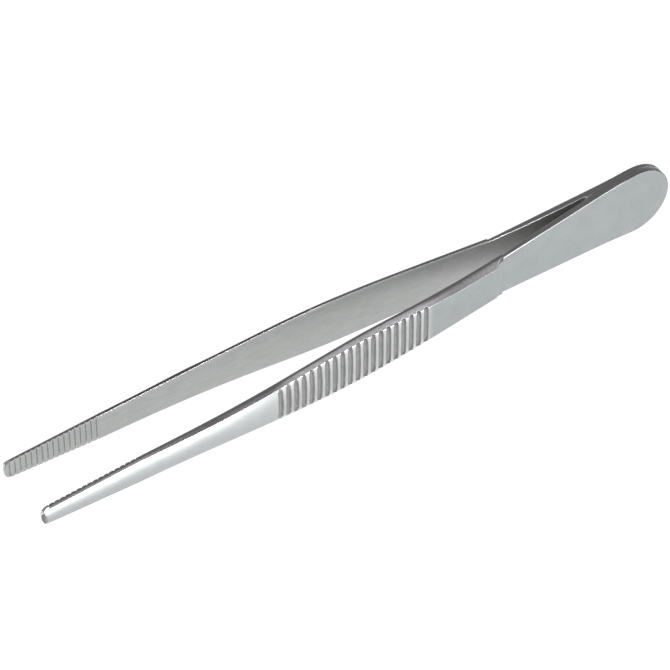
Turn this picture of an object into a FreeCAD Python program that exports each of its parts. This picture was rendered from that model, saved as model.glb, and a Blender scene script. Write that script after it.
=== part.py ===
import FreeCAD, Part
import math
import os
import Sketcher
from enum import IntEnum
from FreeCAD import Placement, Rotation, Vector

# Thumb forceps: two mirrored spring arms, welded face to face at the tail.
# Each arm is drawn along X, and a station is a distance from the jaw tips.
# The arms open along Y, about the mid-plane Y = 0, and Z is across their width,
# about the middle of the arm. The placement of an arm then centres the forceps
# on X and stands the lower edge of the tail on Z = 0. The tips point to -X.
# All lengths are in millimetres.

SIZES = [
    ("overall_length", 130.45, "jaw tip to tail end"),
    ("tail_width", 13.94, "widest part, the round tail"),
    # Sections of the forged arm, from the tip to the shoulder: the half gap from
    # the mid-plane to the inner face, the width of the inner face, the square edge
    # beside it, the width of the outer face, the full thickness, and how far the
    # outer face is crowned.
    ("tip_gap", 5.75, "jaw tip"),
    ("tip_width", 3.7, ""),
    ("tip_edge", 0.5, ""),
    ("tip_face", 3.0, ""),
    ("tip_thickness", 1.0, ""),
    ("tip_crown", 0.3, ""),
    ("jaw_station", 18.0, "end of the toothed jaw"),
    ("jaw_gap", 5.63, ""),
    ("jaw_width", 5.5, ""),
    ("jaw_edge", 0.55, ""),
    ("jaw_face", 4.8, ""),
    ("jaw_thickness", 1.2, ""),
    ("jaw_crown", 0.45, ""),
    ("taper_station", 33.0, "middle of the plain taper"),
    ("taper_gap", 5.62, ""),
    ("taper_width", 6.55, ""),
    ("taper_edge", 0.5, ""),
    ("taper_face", 5.6, ""),
    ("taper_thickness", 1.45, ""),
    ("taper_crown", 0.45, ""),
    ("grip_station", 46.0, "front of the ribbed grip"),
    ("grip_gap", 5.34, ""),
    ("grip_width", 8.1, ""),
    ("grip_edge", 0.5, ""),
    ("grip_face", 7.25, ""),
    ("grip_thickness", 1.5, ""),
    ("grip_crown", 0.3, ""),
    ("swell_station", 63.0, "widest part of the grip"),
    ("swell_gap", 4.5, ""),
    ("swell_width", 10.03, ""),
    ("swell_edge", 0.5, ""),
    ("swell_face", 9.1, ""),
    ("swell_thickness", 1.45, ""),
    ("swell_crown", 0.12, ""),
    ("shank_station", 80.0, "plain shank behind the grip"),
    ("shank_gap", 3.37, ""),
    ("shank_width", 9.32, ""),
    ("shank_edge", 0.55, ""),
    ("shank_face", 7.7, ""),
    ("shank_thickness", 1.52, ""),
    ("shank_crown", 0.06, ""),
    ("shoulder_station", 94.0, "foot of the step from the shank down to the leaf"),
    ("shoulder_gap", 1.94, ""),
    ("shoulder_width", 9.12, ""),
    ("shoulder_edge", 0.6, ""),
    ("shoulder_face", 7.1, ""),
    ("shoulder_thickness", 1.53, ""),
    ("shoulder_crown", 0.03, ""),
    ("rear_bevel", 0.5, "how much wider the rear arm's bevels are from grip to shoulder"),
    # Teeth across the inner face of the jaw, and ribs across the outer face.
    ("tooth_count", 17, "notches in one jaw"),
    ("tooth_pitch", 1.04, "notch to notch"),
    ("tooth_start", 1.0, "tip to the first notch of the rear jaw"),
    ("tooth_depth", 0.28, "depth of a notch"),
    ("tooth_round", 0.42, "half width of a notch, the round of a tooth"),
    ("rib_count", 20, "grooves in one grip"),
    ("rib_pitch", 1.6, "groove to groove"),
    ("rib_start", 45.9, "tip to the first groove"),
    ("rib_depth", 0.34, "depth of a groove"),
    ("rib_radius", 0.5, "radius of a groove"),
    # Rounding of the tip.
    ("tip_corner", 1.4, "corner radius, seen from the side"),
    ("tip_nose", 0.7, "radius from the outer face over the end"),
    # Leaf and tail.
    ("step_radius", 2.1, "cove from the face of the shank down to the leaf"),
    ("leaf_width", 8.52, "leaf just behind the shoulder, narrower than the shank"),
    ("leaf_thickness", 0.66, "leaf just behind the shoulder"),
    ("weld_station", 113.2, "end of the slot, where the leaves meet"),
    ("weld_thickness", 1.4, "leaf at the end of the slot"),
    ("tail_thickness", 1.05, "each leaf at the tail"),
    ("tail_blend", 120.0, "radius where the leaf turns flat at the tail"),
    ("slot_bow", 280.0, "bow radius of the inner face of the leaf"),
    ("slot_end", 0.33, "radius of the end of the slot"),
    ("flare_radius", 20.0, "radius from the flare into the round tail"),
    ("leaf_round", 0.2, "round along the outer edges of the leaf"),
    ("leaf_chamfer", 0.12, "chamfer along the inner edges of the leaf"),
]

SHEET = "Sizes"
SECTIONS = ["tip", "jaw", "taper", "grip", "swell", "shank", "shoulder"]
# The rear arm's long edges are ground back further in these sections.
WIDE_BEVELS = ["grip", "swell", "shank", "shoulder"]
# How far a cutting profile reaches past the steel.
REACH = 2.0
# A face looks outward when this much of its normal does, and lengths this close are equal.
FACING = 0.9
CLOSE = 0.001
# A sketch's own origin, as a curve number and a point of it.
ORIGIN = (-1, 1)


class On(IntEnum):
    """The points of a sketch curve that a dimension can hold."""

    START = 1
    END = 2
    CENTRE = 3


size = {alias: value for alias, value, note in SIZES}
doc = FreeCAD.newDocument("thumb_forceps")


def make_sheet():
    """Put every driving dimension in the spreadsheet, one row each."""
    sheet = doc.addObject("Spreadsheet::Sheet", SHEET)
    for row, (alias, value, note) in enumerate(SIZES, start=1):
        sheet.set(f"A{row}", alias)
        sheet.set(f"B{row}", str(value))
        sheet.set(f"C{row}", note)
        sheet.setAlias(f"B{row}", alias)
    doc.recompute()


def cell(alias):
    """Name a cell of the sheet for use in an expression."""
    return f"{SHEET}.{alias}"


def new_sketch(body, plane, name):
    """Start a sketch on one of the body's own origin planes."""
    sketch = body.newObject("Sketcher::SketchObject", name)
    origin_plane = [f for f in body.Origin.OriginFeatures if f.Role == plane][0]
    sketch.AttachmentSupport = [(origin_plane, "")]
    sketch.MapMode = "FlatFace"
    return sketch


def line(start, end):
    """Straight line between two points of a sketch."""
    return Part.LineSegment(Vector(*start, 0), Vector(*end, 0))


def arc(start, middle, end):
    """Arc of a circle through three points of a sketch."""
    return Part.Arc(Vector(*start, 0), Vector(*middle, 0), Vector(*end, 0))


def bulge(start, end, radius, side):
    """Middle point of an arc of a given radius, bowed to one side of its chord."""
    chord = Vector(end[0] - start[0], end[1] - start[1], 0)
    rise = radius - math.sqrt(radius ** 2 - chord.Length ** 2 / 4)
    across = Vector(-chord.y, chord.x, 0).normalize() * rise * side
    return ((start[0] + end[0]) / 2 + across.x, (start[1] + end[1]) / 2 + across.y)


def point_at(sketch, curve, position):
    """Find which end of a sketch curve lies at a position."""
    ends = [On.START, On.END]
    return min(ends, key=lambda end: sketch.getPoint(curve, end).distanceToPoint(Vector(*position, 0)))


def draw_loop(sketch, points, middles=None, smooth=()):
    """Draw a closed loop through points, with arcs where a middle point is given.

    Curves run on smoothly through the points numbered in smooth. Returns the number
    of the first curve. Curve number n starts at point n.
    """
    middles = middles or {}
    first = sketch.GeometryCount
    following = points[1:] + points[:1]
    for index, (start, end) in enumerate(zip(points, following)):
        curve = arc(start, middles[index], end) if index in middles else line(start, end)
        sketch.addGeometry(curve, False)
    for index, point in enumerate(points):
        before = first + (index - 1) % len(points)
        after = first + index
        ends = [(before, point_at(sketch, before, point)), (after, point_at(sketch, after, point))]
        kind = "Tangent" if index in smooth else "Coincident"
        sketch.addConstraint(Sketcher.Constraint(kind, *ends[0], *ends[1]))
    return first


def drive(sketch, kind, refs, value, expression):
    """Add a dimension to a sketch and bind it to the sheet."""
    index = sketch.addConstraint(Sketcher.Constraint(kind, *refs, value))
    sketch.setExpression(f"Constraints[{index}]", expression)


def hold(sketch, curve, position, expressions):
    """Hold the end of a curve that lies at a position, with X and Y bound to the sheet."""
    point = (curve, point_at(sketch, curve, position))
    for kind, value, expression in zip(("DistanceX", "DistanceY"), position, expressions):
        if expression is not None:
            drive(sketch, kind, (*ORIGIN, *point), value, expression)


def signed(side, expression):
    """Write an expression for a distance from the mid-plane on one side of it."""
    return f"-({expression})" if side < 0 else f"({expression})"


def draw_section(body, section, side):
    """Cross-section of the forged arm: flat inside, square edges, bevels, crowned outside."""
    gap, width, edge, face, thickness, crown = [
        f"{section}_{part}" for part in ("gap", "width", "edge", "face", "thickness", "crown")]
    sketch = new_sketch(body, "YZ_Plane", f"{section}_section")
    if section != SECTIONS[0]:
        station = f"{section}_station"
        sketch.AttachmentOffset = Placement(Vector(0, 0, size[station]), Rotation())
        sketch.setExpression("AttachmentOffset.Base.z", cell(station))
    inner = side * size[gap]
    bevel = side * (size[gap] + size[edge])
    corner = side * (size[gap] + size[thickness] - size[crown])
    crest = side * (size[gap] + size[thickness])
    half_width = size[width] / 2
    half_face = size[face] / 2
    face_edge = f"({cell(face)} / 2)"
    if side > 0 and section in WIDE_BEVELS:
        half_face -= size["rear_bevel"]
        face_edge = f"({cell(face)} / 2 - {cell('rear_bevel')})"
    points = [(inner, -half_width), (inner, half_width), (bevel, half_width), (corner, half_face),
              (corner, -half_face), (bevel, -half_width)]
    across = [signed(side, cell(gap)), signed(side, cell(gap)), signed(side, f"{cell(gap)} + {cell(edge)}"),
              signed(side, f"{cell(gap)} + {cell(thickness)} - {cell(crown)}"),
              signed(side, f"{cell(gap)} + {cell(thickness)} - {cell(crown)}"),
              signed(side, f"{cell(gap)} + {cell(edge)}")]
    heights = [f"-{cell(width)} / 2", f"{cell(width)} / 2", f"{cell(width)} / 2", face_edge,
               f"-{face_edge}", f"-{cell(width)} / 2"]
    crowned = 3
    draw_loop(sketch, points, {crowned: (crest, 0)})
    for index, point in enumerate(points):
        hold(sketch, index, point, (across[index], heights[index]))
    radius = (half_face ** 2 + size[crown] ** 2) / (2 * size[crown])
    drive(sketch, "Radius", (crowned,), radius,
          f"({face_edge} ^ 2 + {cell(crown)} ^ 2) / (2 * {cell(crown)})")
    return sketch


def pad_leaf(body, side):
    """Side outline of the leaf, flared into the round tail, as a block beside the mid-plane."""
    sketch = new_sketch(body, "XZ_Plane", "leaf_outline")
    radius = size["tail_width"] / 2
    front = size["shoulder_station"]
    half = size["leaf_width"] / 2
    top = (size["overall_length"] - radius, radius)
    # The straight flare leaves the shoulder and touches the arc that tops out at the tail.
    flare = size["flare_radius"]
    to_centre = Vector(top[0] - front, top[1] - flare - half, 0)
    turn = math.asin(flare / to_centre.Length) + math.atan2(to_centre.y, to_centre.x)
    reach = math.sqrt(to_centre.Length ** 2 - flare ** 2)
    touch = (front + reach * math.cos(turn), half + reach * math.sin(turn))
    below = [(x, -y) for x, y in (touch, top)]
    end = (size["overall_length"], 0)
    points = [(front, half), touch, top, below[1], below[0], (front, -half)]
    middles = {1: bulge(touch, top, flare, 1), 2: end, 3: bulge(below[1], below[0], flare, 1)}
    draw_loop(sketch, points, middles, smooth=(1, 4))
    centre_x = f"{cell('overall_length')} - {cell('tail_width')} / 2"
    hold(sketch, 0, points[0], (cell("shoulder_station"), f"{cell('leaf_width')} / 2"))
    hold(sketch, 5, points[5], (cell("shoulder_station"), f"-{cell('leaf_width')} / 2"))
    hold(sketch, 2, top, (centre_x, f"{cell('tail_width')} / 2"))
    hold(sketch, 2, below[1], (centre_x, f"-{cell('tail_width')} / 2"))
    for curve in (1, 2, 3):
        drive(sketch, "DistanceX", (*ORIGIN, curve, On.CENTRE), top[0], centre_x)
    for curve in (1, 3):
        drive(sketch, "Radius", (curve,), flare, cell("flare_radius"))
    pad = body.newObject("PartDesign::Pad", "leaf_block")
    pad.Profile = sketch
    pad.Reversed = side > 0
    pad.Length = size["shoulder_gap"] + size["shoulder_thickness"]
    pad.setExpression("Length", f"{cell('shoulder_gap')} + {cell('shoulder_thickness')}")
    return pad


def cut_across(body, sketch, name):
    """Cut a profile right through the width of the arm."""
    before = body.Tip.Shape.Volume
    pocket = body.newObject("PartDesign::Pocket", name)
    pocket.Profile = sketch
    pocket.SideType = "Symmetric"
    pocket.Length = size["tail_width"] + 2 * REACH
    pocket.setExpression("Length", f"{cell('tail_width')} + {2 * REACH}")
    doc.recompute()
    if pocket.Shape.Volume >= before:
        raise RuntimeError(f"{name} cut nothing")
    return pocket


def cut_slot(body, side):
    """Inner face of the leaf: bowed from the shoulder down to the rounded end of the slot."""
    sketch = new_sketch(body, "XY_Plane", "slot_profile")
    front = size["shoulder_station"]
    round_end = size["slot_end"]
    weld = size["weld_station"]
    outside = -side * REACH
    opening = (front, side * size["shoulder_gap"])
    narrow = (weld - round_end, side * round_end)
    closed = (weld, 0)
    points = [opening, narrow, closed, (weld, outside), (front, outside)]
    middles = {0: bulge(opening, narrow, size["slot_bow"], -side),
               1: (weld - round_end * (1 - math.sqrt(0.5)), side * round_end * math.sqrt(0.5))}
    draw_loop(sketch, points, middles)
    hold(sketch, 0, opening, (cell("shoulder_station"), signed(side, cell("shoulder_gap"))))
    drive(sketch, "Radius", (0,), size["slot_bow"], cell("slot_bow"))
    hold(sketch, 1, narrow, (f"{cell('weld_station')} - {cell('slot_end')}", signed(side, cell("slot_end"))))
    drive(sketch, "Radius", (1,), round_end, cell("slot_end"))
    hold(sketch, 2, closed, (cell("weld_station"), "0"))
    hold(sketch, 3, points[3], (cell("weld_station"), f"{outside}"))
    hold(sketch, 4, points[4], (cell("shoulder_station"), f"{outside}"))
    return cut_across(body, sketch, "slot")


def cut_leaf_face(body, side):
    """Outer face of the leaf: thickens to the weld and turns flat along the tail."""
    sketch = new_sketch(body, "XY_Plane", "leaf_face_profile")
    front = size["shoulder_station"]
    weld = size["weld_station"]
    tail = size["tail_thickness"]
    blend = size["tail_blend"]
    start = (front, size["shoulder_gap"] + size["leaf_thickness"])
    slope = math.atan((start[1] - size["weld_thickness"]) / (weld - front))
    # Where the sloping face would meet the flat one, and how far the blend reaches from there.
    meeting = weld + (size["weld_thickness"] - tail) / math.tan(slope)
    reach = blend * math.tan(slope / 2)
    turn_in = (meeting - reach * math.cos(slope), side * (tail + reach * math.sin(slope)))
    turn_out = (meeting + reach, side * tail)
    start = (start[0], side * start[1])
    behind = size["overall_length"] + REACH
    outside = side * (size["shoulder_gap"] + size["shoulder_thickness"] + REACH)
    points = [start, turn_in, turn_out, (behind, side * tail), (behind, outside), (front, outside)]
    draw_loop(sketch, points, {1: bulge(turn_in, turn_out, blend, -side)}, smooth=(1, 2))
    slope_line = f"({cell('shoulder_gap')} + {cell('leaf_thickness')} - {cell('weld_thickness')}) / " \
                 f"({cell('weld_station')} - {cell('shoulder_station')})"
    hold(sketch, 0, start, (cell("shoulder_station"),
                            signed(side, f"{cell('shoulder_gap')} + {cell('leaf_thickness')}")))
    angle = sketch.addConstraint(Sketcher.Constraint("Angle", 0, -side * slope))
    sketch.setExpression(f"Constraints[{angle}]", signed(-side, f"atan({slope_line})"))
    drive(sketch, "Radius", (1,), blend, cell("tail_blend"))
    hold(sketch, 2, turn_out, (None, signed(side, cell("tail_thickness"))))
    hold(sketch, 3, points[3], (f"{cell('overall_length')} + {REACH}", signed(side, cell("tail_thickness"))))
    far = signed(side, f"{cell('shoulder_gap')} + {cell('shoulder_thickness')} + {REACH}")
    hold(sketch, 4, points[4], (f"{cell('overall_length')} + {REACH}", far))
    hold(sketch, 5, points[5], (cell("shoulder_station"), far))
    return cut_across(body, sketch, "leaf_face")


def leaf_edges(shape, outward, side):
    """Name the long edges of the leaf around its outer faces, or around its inner ones.

    The faces that look outward or inward are found by their normals. Their edges that
    another such face shares, and those on the shoulder plane, stay square.
    """
    chosen = []
    for face in shape.Faces:
        u_first, u_last, v_first, v_last = face.ParameterRange
        normal = face.normalAt((u_first + u_last) / 2, (v_first + v_last) / 2)
        if normal.y * side * (1 if outward else -1) > FACING:
            chosen.append(face)
    names = []
    for number, edge in enumerate(shape.Edges, start=1):
        owners = [face for face in chosen if any(edge.isSame(other) for other in face.Edges)]
        behind = edge.BoundBox.XMax > size["shoulder_station"] + CLOSE
        if len(owners) == 1 and behind and edge.BoundBox.ZLength < edge.Length - CLOSE:
            names.append(f"Edge{number}")
    return names


def soften_leaf(body, side):
    """Round the outer edges of the leaf and break its inner ones."""
    before = body.Tip
    rounded = body.newObject("PartDesign::Fillet", "leaf_round")
    rounded.Base = (before, leaf_edges(before.Shape, True, side))
    rounded.Radius = size["leaf_round"]
    rounded.setExpression("Radius", cell("leaf_round"))
    doc.recompute()
    broken = body.newObject("PartDesign::Chamfer", "leaf_chamfer")
    broken.Base = (rounded, leaf_edges(rounded.Shape, False, side))
    broken.Size = size["leaf_chamfer"]
    broken.setExpression("Size", cell("leaf_chamfer"))
    doc.recompute()


def loft(body, sections, name):
    """Forge a smooth length of the arm through its cross-sections."""
    feature = body.newObject("PartDesign::AdditiveLoft", name)
    feature.Profile = sections[0]
    feature.Sections = sections[1:]
    doc.recompute()
    return feature


def cut_step(body, side):
    """Cove across the end of the shank, which runs out on the outer face of the leaf."""
    sketch = new_sketch(body, "XY_Plane", "step_cove")
    radius = size["step_radius"]
    foot = size["shoulder_station"]
    floor = size["shoulder_gap"] + size["leaf_thickness"]
    outside = size["shoulder_gap"] + size["shoulder_thickness"] + radius + REACH
    short = radius * (1 - math.sqrt(0.5))
    points = [(foot, side * floor), (foot - radius, side * (floor + radius)),
              (foot - radius, side * outside), (foot, side * outside)]
    middle = (foot - radius * math.sqrt(0.5), side * (floor + short))
    draw_loop(sketch, points, {0: middle})
    ahead = f"{cell('shoulder_station')} - {cell('step_radius')}"
    low = f"{cell('shoulder_gap')} + {cell('leaf_thickness')}"
    high = f"{low} + {cell('step_radius')}"
    far = f"{cell('shoulder_gap')} + {cell('shoulder_thickness')} + {cell('step_radius')} + {REACH}"
    stations = [cell("shoulder_station"), ahead, ahead, cell("shoulder_station")]
    for index, height in enumerate([low, high, far, far]):
        hold(sketch, index, points[index], (stations[index], signed(side, height)))
    drive(sketch, "Radius", (0,), radius, cell("step_radius"))
    return cut_across(body, sketch, "step")


def face_height(shape, station, side):
    """Distance from the mid-plane to the outer face of the arm at a station."""
    probe = Part.makeLine(Vector(station, 0, 0), Vector(station, side * size["overall_length"], 0))
    inside = probe.common(shape)
    return max(abs(vertex.Y) for vertex in inside.Vertexes)


def cut_ribs(body, side):
    """Row of round grooves across the outer face of the grip, each to the same depth."""
    sketch = new_sketch(body, "XY_Plane", "rib_grooves")
    radius = size["rib_radius"]
    shape = body.Tip.Shape
    for index in range(int(size["rib_count"])):
        station = size["rib_start"] + index * size["rib_pitch"]
        across = side * (face_height(shape, station, side) + radius - size["rib_depth"])
        sketch.addGeometry(Part.Circle(Vector(station, across, 0), Vector(0, 0, 1), radius), False)
        middle = (index, On.CENTRE)
        drive(sketch, "DistanceX", (*ORIGIN, *middle), station,
              f"{cell('rib_start')} + {index} * {cell('rib_pitch')}")
        sketch.addConstraint(Sketcher.Constraint("DistanceY", *ORIGIN, *middle, across))
        drive(sketch, "Radius", (index,), radius, cell("rib_radius"))
    return cut_across(body, sketch, "ribs")


def cut_teeth(body, side, first):
    """Row of notches across the inner face of the jaw, between teeth with round crests.

    The notch is drawn in a sketch turned to lie along the jaw's inner face, so its X
    axis is also the direction in which the notch is repeated.
    """
    lean = math.atan((size["tip_gap"] - size["jaw_gap"]) / size["jaw_station"])
    sketch = new_sketch(body, "XY_Plane", "tooth_notch")
    sketch.AttachmentOffset = Placement(Vector(0, side * size["tip_gap"], 0),
                                        Rotation(Vector(0, 0, 1), math.degrees(-side * lean)))
    sketch.setExpression("AttachmentOffset.Base.y", signed(side, cell("tip_gap")))
    sketch.setExpression("AttachmentOffset.Rotation.Angle", signed(
        -side, f"atan(({cell('tip_gap')} - {cell('jaw_gap')}) / {cell('jaw_station')})"))
    depth = size["tooth_depth"]
    half = size["tooth_round"]
    radius = (half ** 2 + depth ** 2) / (2 * depth)
    outside = -side * depth
    points = [(first - half, outside), (first - half, 0), (first, side * depth), (first + half, 0),
              (first + half, outside)]
    middles = {1: bulge(points[1], points[2], radius, -side), 2: bulge(points[2], points[3], radius, -side)}
    draw_loop(sketch, points, middles)
    place = f"{cell('tooth_start')} + {0 if side > 0 else 0.5} * {cell('tooth_pitch')}"
    left = f"{place} - {cell('tooth_round')}"
    right = f"{place} + {cell('tooth_round')}"
    open_side = signed(-side, cell("tooth_depth"))
    stations = [left, left, place, right, right]
    heights = [open_side, "0", signed(side, cell("tooth_depth")), "0", open_side]
    for index, point in enumerate(points):
        hold(sketch, index, point, (stations[index], heights[index]))
    for curve in (1, 2):
        drive(sketch, "Radius", (curve,), radius,
              f"({cell('tooth_round')} ^ 2 + {cell('tooth_depth')} ^ 2) / (2 * {cell('tooth_depth')})")
    notch = cut_across(body, sketch, "notch")
    row = body.newObject("PartDesign::LinearPattern", "teeth")
    row.Originals = [notch]
    row.Direction = (sketch, ["H_Axis"])
    row.Length = (size["tooth_count"] - 1) * size["tooth_pitch"]
    row.setExpression("Length", f"({cell('tooth_count')} - 1) * {cell('tooth_pitch')}")
    row.Occurrences = int(size["tooth_count"])
    row.setExpression("Occurrences", cell("tooth_count"))
    body.Tip = row
    doc.recompute()
    return row


def round_tip(body, side):
    """Round the two corners of the tip seen from the side, and its outer end from above."""
    radius = size["tip_corner"]
    # The rounds end on the jaw's edges, which already stand wider there than at the tip.
    share = radius / size["jaw_station"]
    half = (size["tip_width"] + (size["jaw_width"] - size["tip_width"]) * share) / 2
    half_width = f"({cell('tip_width')} + ({cell('jaw_width')} - {cell('tip_width')}) * " \
                 f"{cell('tip_corner')} / {cell('jaw_station')}) / 2"
    sketch = new_sketch(body, "XZ_Plane", "tip_corners")
    for up in (1, -1):
        points = [(0, up * (half - radius)), (radius, up * half), (radius, up * (half + REACH)),
                  (-REACH, up * (half + REACH)), (-REACH, up * (half - radius))]
        middle = (radius * (1 - math.sqrt(0.5)), up * (half - radius * (1 - math.sqrt(0.5))))
        first = draw_loop(sketch, points, {0: middle})
        low = signed(up, f"{half_width} - {cell('tip_corner')}")
        high = signed(up, half_width)
        far = signed(up, f"{half_width} + {REACH}")
        stations = ["0", cell("tip_corner"), cell("tip_corner"), f"{-REACH}", f"{-REACH}"]
        for index, height in enumerate([low, high, far, far, low]):
            hold(sketch, first + index, points[index], (stations[index], height))
        drive(sketch, "Radius", (first,), radius, cell("tip_corner"))
    before = body.Tip.Shape.Volume
    corners = body.newObject("PartDesign::Pocket", "tip_corner_rounds")
    corners.Profile = sketch
    corners.Reversed = side < 0
    corners.Length = size["tip_gap"] + size["tip_thickness"] + REACH
    corners.setExpression("Length", f"{cell('tip_gap')} + {cell('tip_thickness')} + {REACH}")
    doc.recompute()
    if corners.Shape.Volume >= before:
        raise RuntimeError("the tip's corners were not cut")

    nose = size["tip_nose"]
    crest = size["tip_gap"] + size["tip_thickness"]
    sketch = new_sketch(body, "XY_Plane", "tip_nose")
    points = [(0, side * (crest - nose)), (nose, side * crest), (nose, side * (crest + REACH)),
              (-REACH, side * (crest + REACH)), (-REACH, side * (crest - nose))]
    middle = (nose * (1 - math.sqrt(0.5)), side * (crest - nose * (1 - math.sqrt(0.5))))
    draw_loop(sketch, points, {0: middle})
    outer = f"{cell('tip_gap')} + {cell('tip_thickness')}"
    low = signed(side, f"{outer} - {cell('tip_nose')}")
    far = signed(side, f"{outer} + {REACH}")
    stations = ["0", cell("tip_nose"), cell("tip_nose"), f"{-REACH}", f"{-REACH}"]
    for index, height in enumerate([low, signed(side, outer), far, far, low]):
        hold(sketch, index, points[index], (stations[index], height))
    drive(sketch, "Radius", (0,), nose, cell("tip_nose"))
    return cut_across(body, sketch, "tip_nose_round")


def make_arm(name, side):
    """One arm of the forceps, on one side of the mid-plane."""
    body = doc.addObject("PartDesign::Body", name)
    body.Label = name
    pad_leaf(body, side)
    doc.recompute()
    cut_slot(body, side)
    cut_leaf_face(body, side)
    soften_leaf(body, side)
    sections = [draw_section(body, section, side) for section in SECTIONS]
    doc.recompute()
    loft(body, sections[1:], "arm")
    loft(body, sections[:2], "jaw")
    cut_step(body, side)
    round_tip(body, side)
    cut_ribs(body, side)
    # The front jaw's teeth sit half a pitch on, so that they mesh with the rear jaw's.
    first = size["tooth_start"] + (0 if side > 0 else 0.5 * size["tooth_pitch"])
    cut_teeth(body, side, first)
    body.Placement = Placement(Vector(-size["overall_length"] / 2, 0, size["tail_width"] / 2), Rotation())
    body.setExpression("Placement.Base.x", f"-{cell('overall_length')} / 2")
    body.setExpression("Placement.Base.z", f"{cell('tail_width')} / 2")
    return body


def check_and_write(bodies):
    """Stop on any failed object or bad solid, then write one STEP file for each arm."""
    doc.recompute()
    for item in doc.Objects:
        if "Invalid" in item.State or "Error" in item.State:
            raise RuntimeError(f"{item.Name} failed: {item.State}")
    os.makedirs("parts", exist_ok=True)
    for body in bodies:
        shape = body.Shape
        if shape.isNull() or not shape.isValid() or len(shape.Solids) != 1:
            raise RuntimeError(f"{body.Label} is not one valid solid")
        shape.exportStep(f"parts/{body.Label}.step")
        box = shape.BoundBox
        print(f"{body.Label}: {shape.Volume:.1f} mm3, {box.XLength:.2f} x {box.YLength:.2f} x {box.ZLength:.2f}")


make_sheet()
check_and_write([make_arm("front_arm", -1), make_arm("rear_arm", 1)])
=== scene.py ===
import logging
import math
from dataclasses import dataclass, field
from enum import Enum

import bpy
import numpy as np
from mathutils import Matrix, Vector


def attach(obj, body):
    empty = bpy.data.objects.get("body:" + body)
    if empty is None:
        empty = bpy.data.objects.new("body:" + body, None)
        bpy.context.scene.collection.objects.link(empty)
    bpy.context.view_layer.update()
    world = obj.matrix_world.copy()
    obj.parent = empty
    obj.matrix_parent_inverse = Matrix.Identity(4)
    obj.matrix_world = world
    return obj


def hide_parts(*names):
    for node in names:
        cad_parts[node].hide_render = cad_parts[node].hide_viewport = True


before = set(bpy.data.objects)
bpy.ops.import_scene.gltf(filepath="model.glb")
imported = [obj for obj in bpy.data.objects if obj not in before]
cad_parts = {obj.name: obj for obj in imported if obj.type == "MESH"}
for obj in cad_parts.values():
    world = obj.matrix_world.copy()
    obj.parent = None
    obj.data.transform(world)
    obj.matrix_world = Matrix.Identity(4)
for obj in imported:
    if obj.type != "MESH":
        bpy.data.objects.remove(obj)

MM = 0.001
BODY = "root"
# Points that fall on the same one of this many steps to the metre are merged.
WELD_GRID = 1e8
# An arc takes at most this share of a side, so that the arcs at its two ends never meet.
ARC_ROOM = 0.4999
# Guards against a division by zero: an angle, a direction's length, and a crown in millimetres.
LEAST_ANGLE = 1e-4
LEAST_LENGTH = 1e-9
LEAST_RISE = 1e-6
# Sockets of the Mix node, which keeps one set for numbers and one for colours.
NUMBER_SOCKETS = (2, 3)
NUMBER_RESULT = 0
COLOR_SOCKETS = (6, 7)
COLOR_RESULT = 2
log = logging.getLogger("thumb_forceps")


class Side(Enum):
    """Which side of the mid-plane an arm stands on, as the sign of its Y."""

    FRONT = -1
    REAR = 1


class Mask(Enum):
    """Named parts of an arm's skin, with its painted shade and painted highlights. All but the lip,
    the groove walls and the painted notch highlight become point attributes.
    """

    STRIP = "narrow_edge"
    BEVEL = "ground_bevel"
    GROOVE = "rib_groove"
    POLISH = "polished_face"
    INNER = "inner_face"
    # The inner rounded edge; as a finish, the painted highlight on rims, lips, notch ends, ridge
    # ends and the tip's corners.
    RIM = "worn_rim"
    LIP = "rounded_lip"
    # Painted shade on the crown's edge, which dims its highlight, and painted shadow in the cove.
    CREST_SHADE = "crown_rim"
    WALL = "groove_wall"
    # Painted highlight at the upper ends of the notches.
    BURR = "tooth_burr"
    # Painted shade: a dark steel look that dims highlights and stands in for shadow.
    HONED = "honed_edge"
    SLOT = "slot_face"


@dataclass(frozen=True)
class Section:
    """Cross-section of the forged arm at one station, in millimetres."""

    station: float
    gap: float
    width: float
    edge: float
    face: float
    thickness: float
    crown: float


@dataclass(frozen=True)
class Row:
    """Row of equal cuts across an arm, in millimetres."""

    count: int
    pitch: float
    first: float
    steps: tuple[float, ...]

    def centre(self, station: np.ndarray, shift: float = 0.0) -> np.ndarray:
        """Station of the cut nearest to each given station.

        Args:
            station: distances from the tip.
            shift: how far the row is moved back.

        Returns:
            Stations of the cuts' middles.
        """
        first = self.first + shift
        order = np.clip(np.round((station - first) / self.pitch), 0, self.count - 1)
        return first + order * self.pitch

    def stations(self, shift: float = 0.0) -> np.ndarray:
        """Stations that resolve every cut, at the steps to both sides of its middle.

        Args:
            shift: how far the row is moved back.

        Returns:
            Stations, one group for each cut.
        """
        steps = np.array(self.steps)
        offsets = np.concatenate([-steps[:0:-1], steps])
        centres = self.first + shift + self.pitch * np.arange(self.count)
        return (centres[:, None] + offsets[None, :]).ravel()


@dataclass(frozen=True)
class Teeth(Row):
    """Row of cross notches on the inner face of a jaw."""

    count: int = 17
    pitch: float = 1.04
    first: float = 1.0
    steps: tuple[float, ...] = (0.0, 0.025, 0.06, 0.11, 0.18, 0.27, 0.36, 0.42)
    depth: float = 0.28
    half_width: float = 0.42

    def carve(self, station: np.ndarray, shift: float) -> np.ndarray:
        """Depth of the notches below the inner face at each station.

        A notch is two arcs that bulge out of the steel and meet in a line, so the teeth
        between notches have round crests: with u the distance from the notch line, the
        depth is R - sqrt(R^2 - (half_width - u)^2), where R^2 - half_width^2 = (R - depth)^2.

        Args:
            station: distances from the tip.
            shift: how far this jaw's row is moved back from the first notch.

        Returns:
            Depths, zero away from the notches.
        """
        radius = (self.half_width**2 + self.depth**2) / (2 * self.depth)
        away = np.abs(station - self.centre(station, shift))
        reach = np.clip(self.half_width - away, 0, None)
        return radius - np.sqrt(radius**2 - reach**2)


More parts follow.
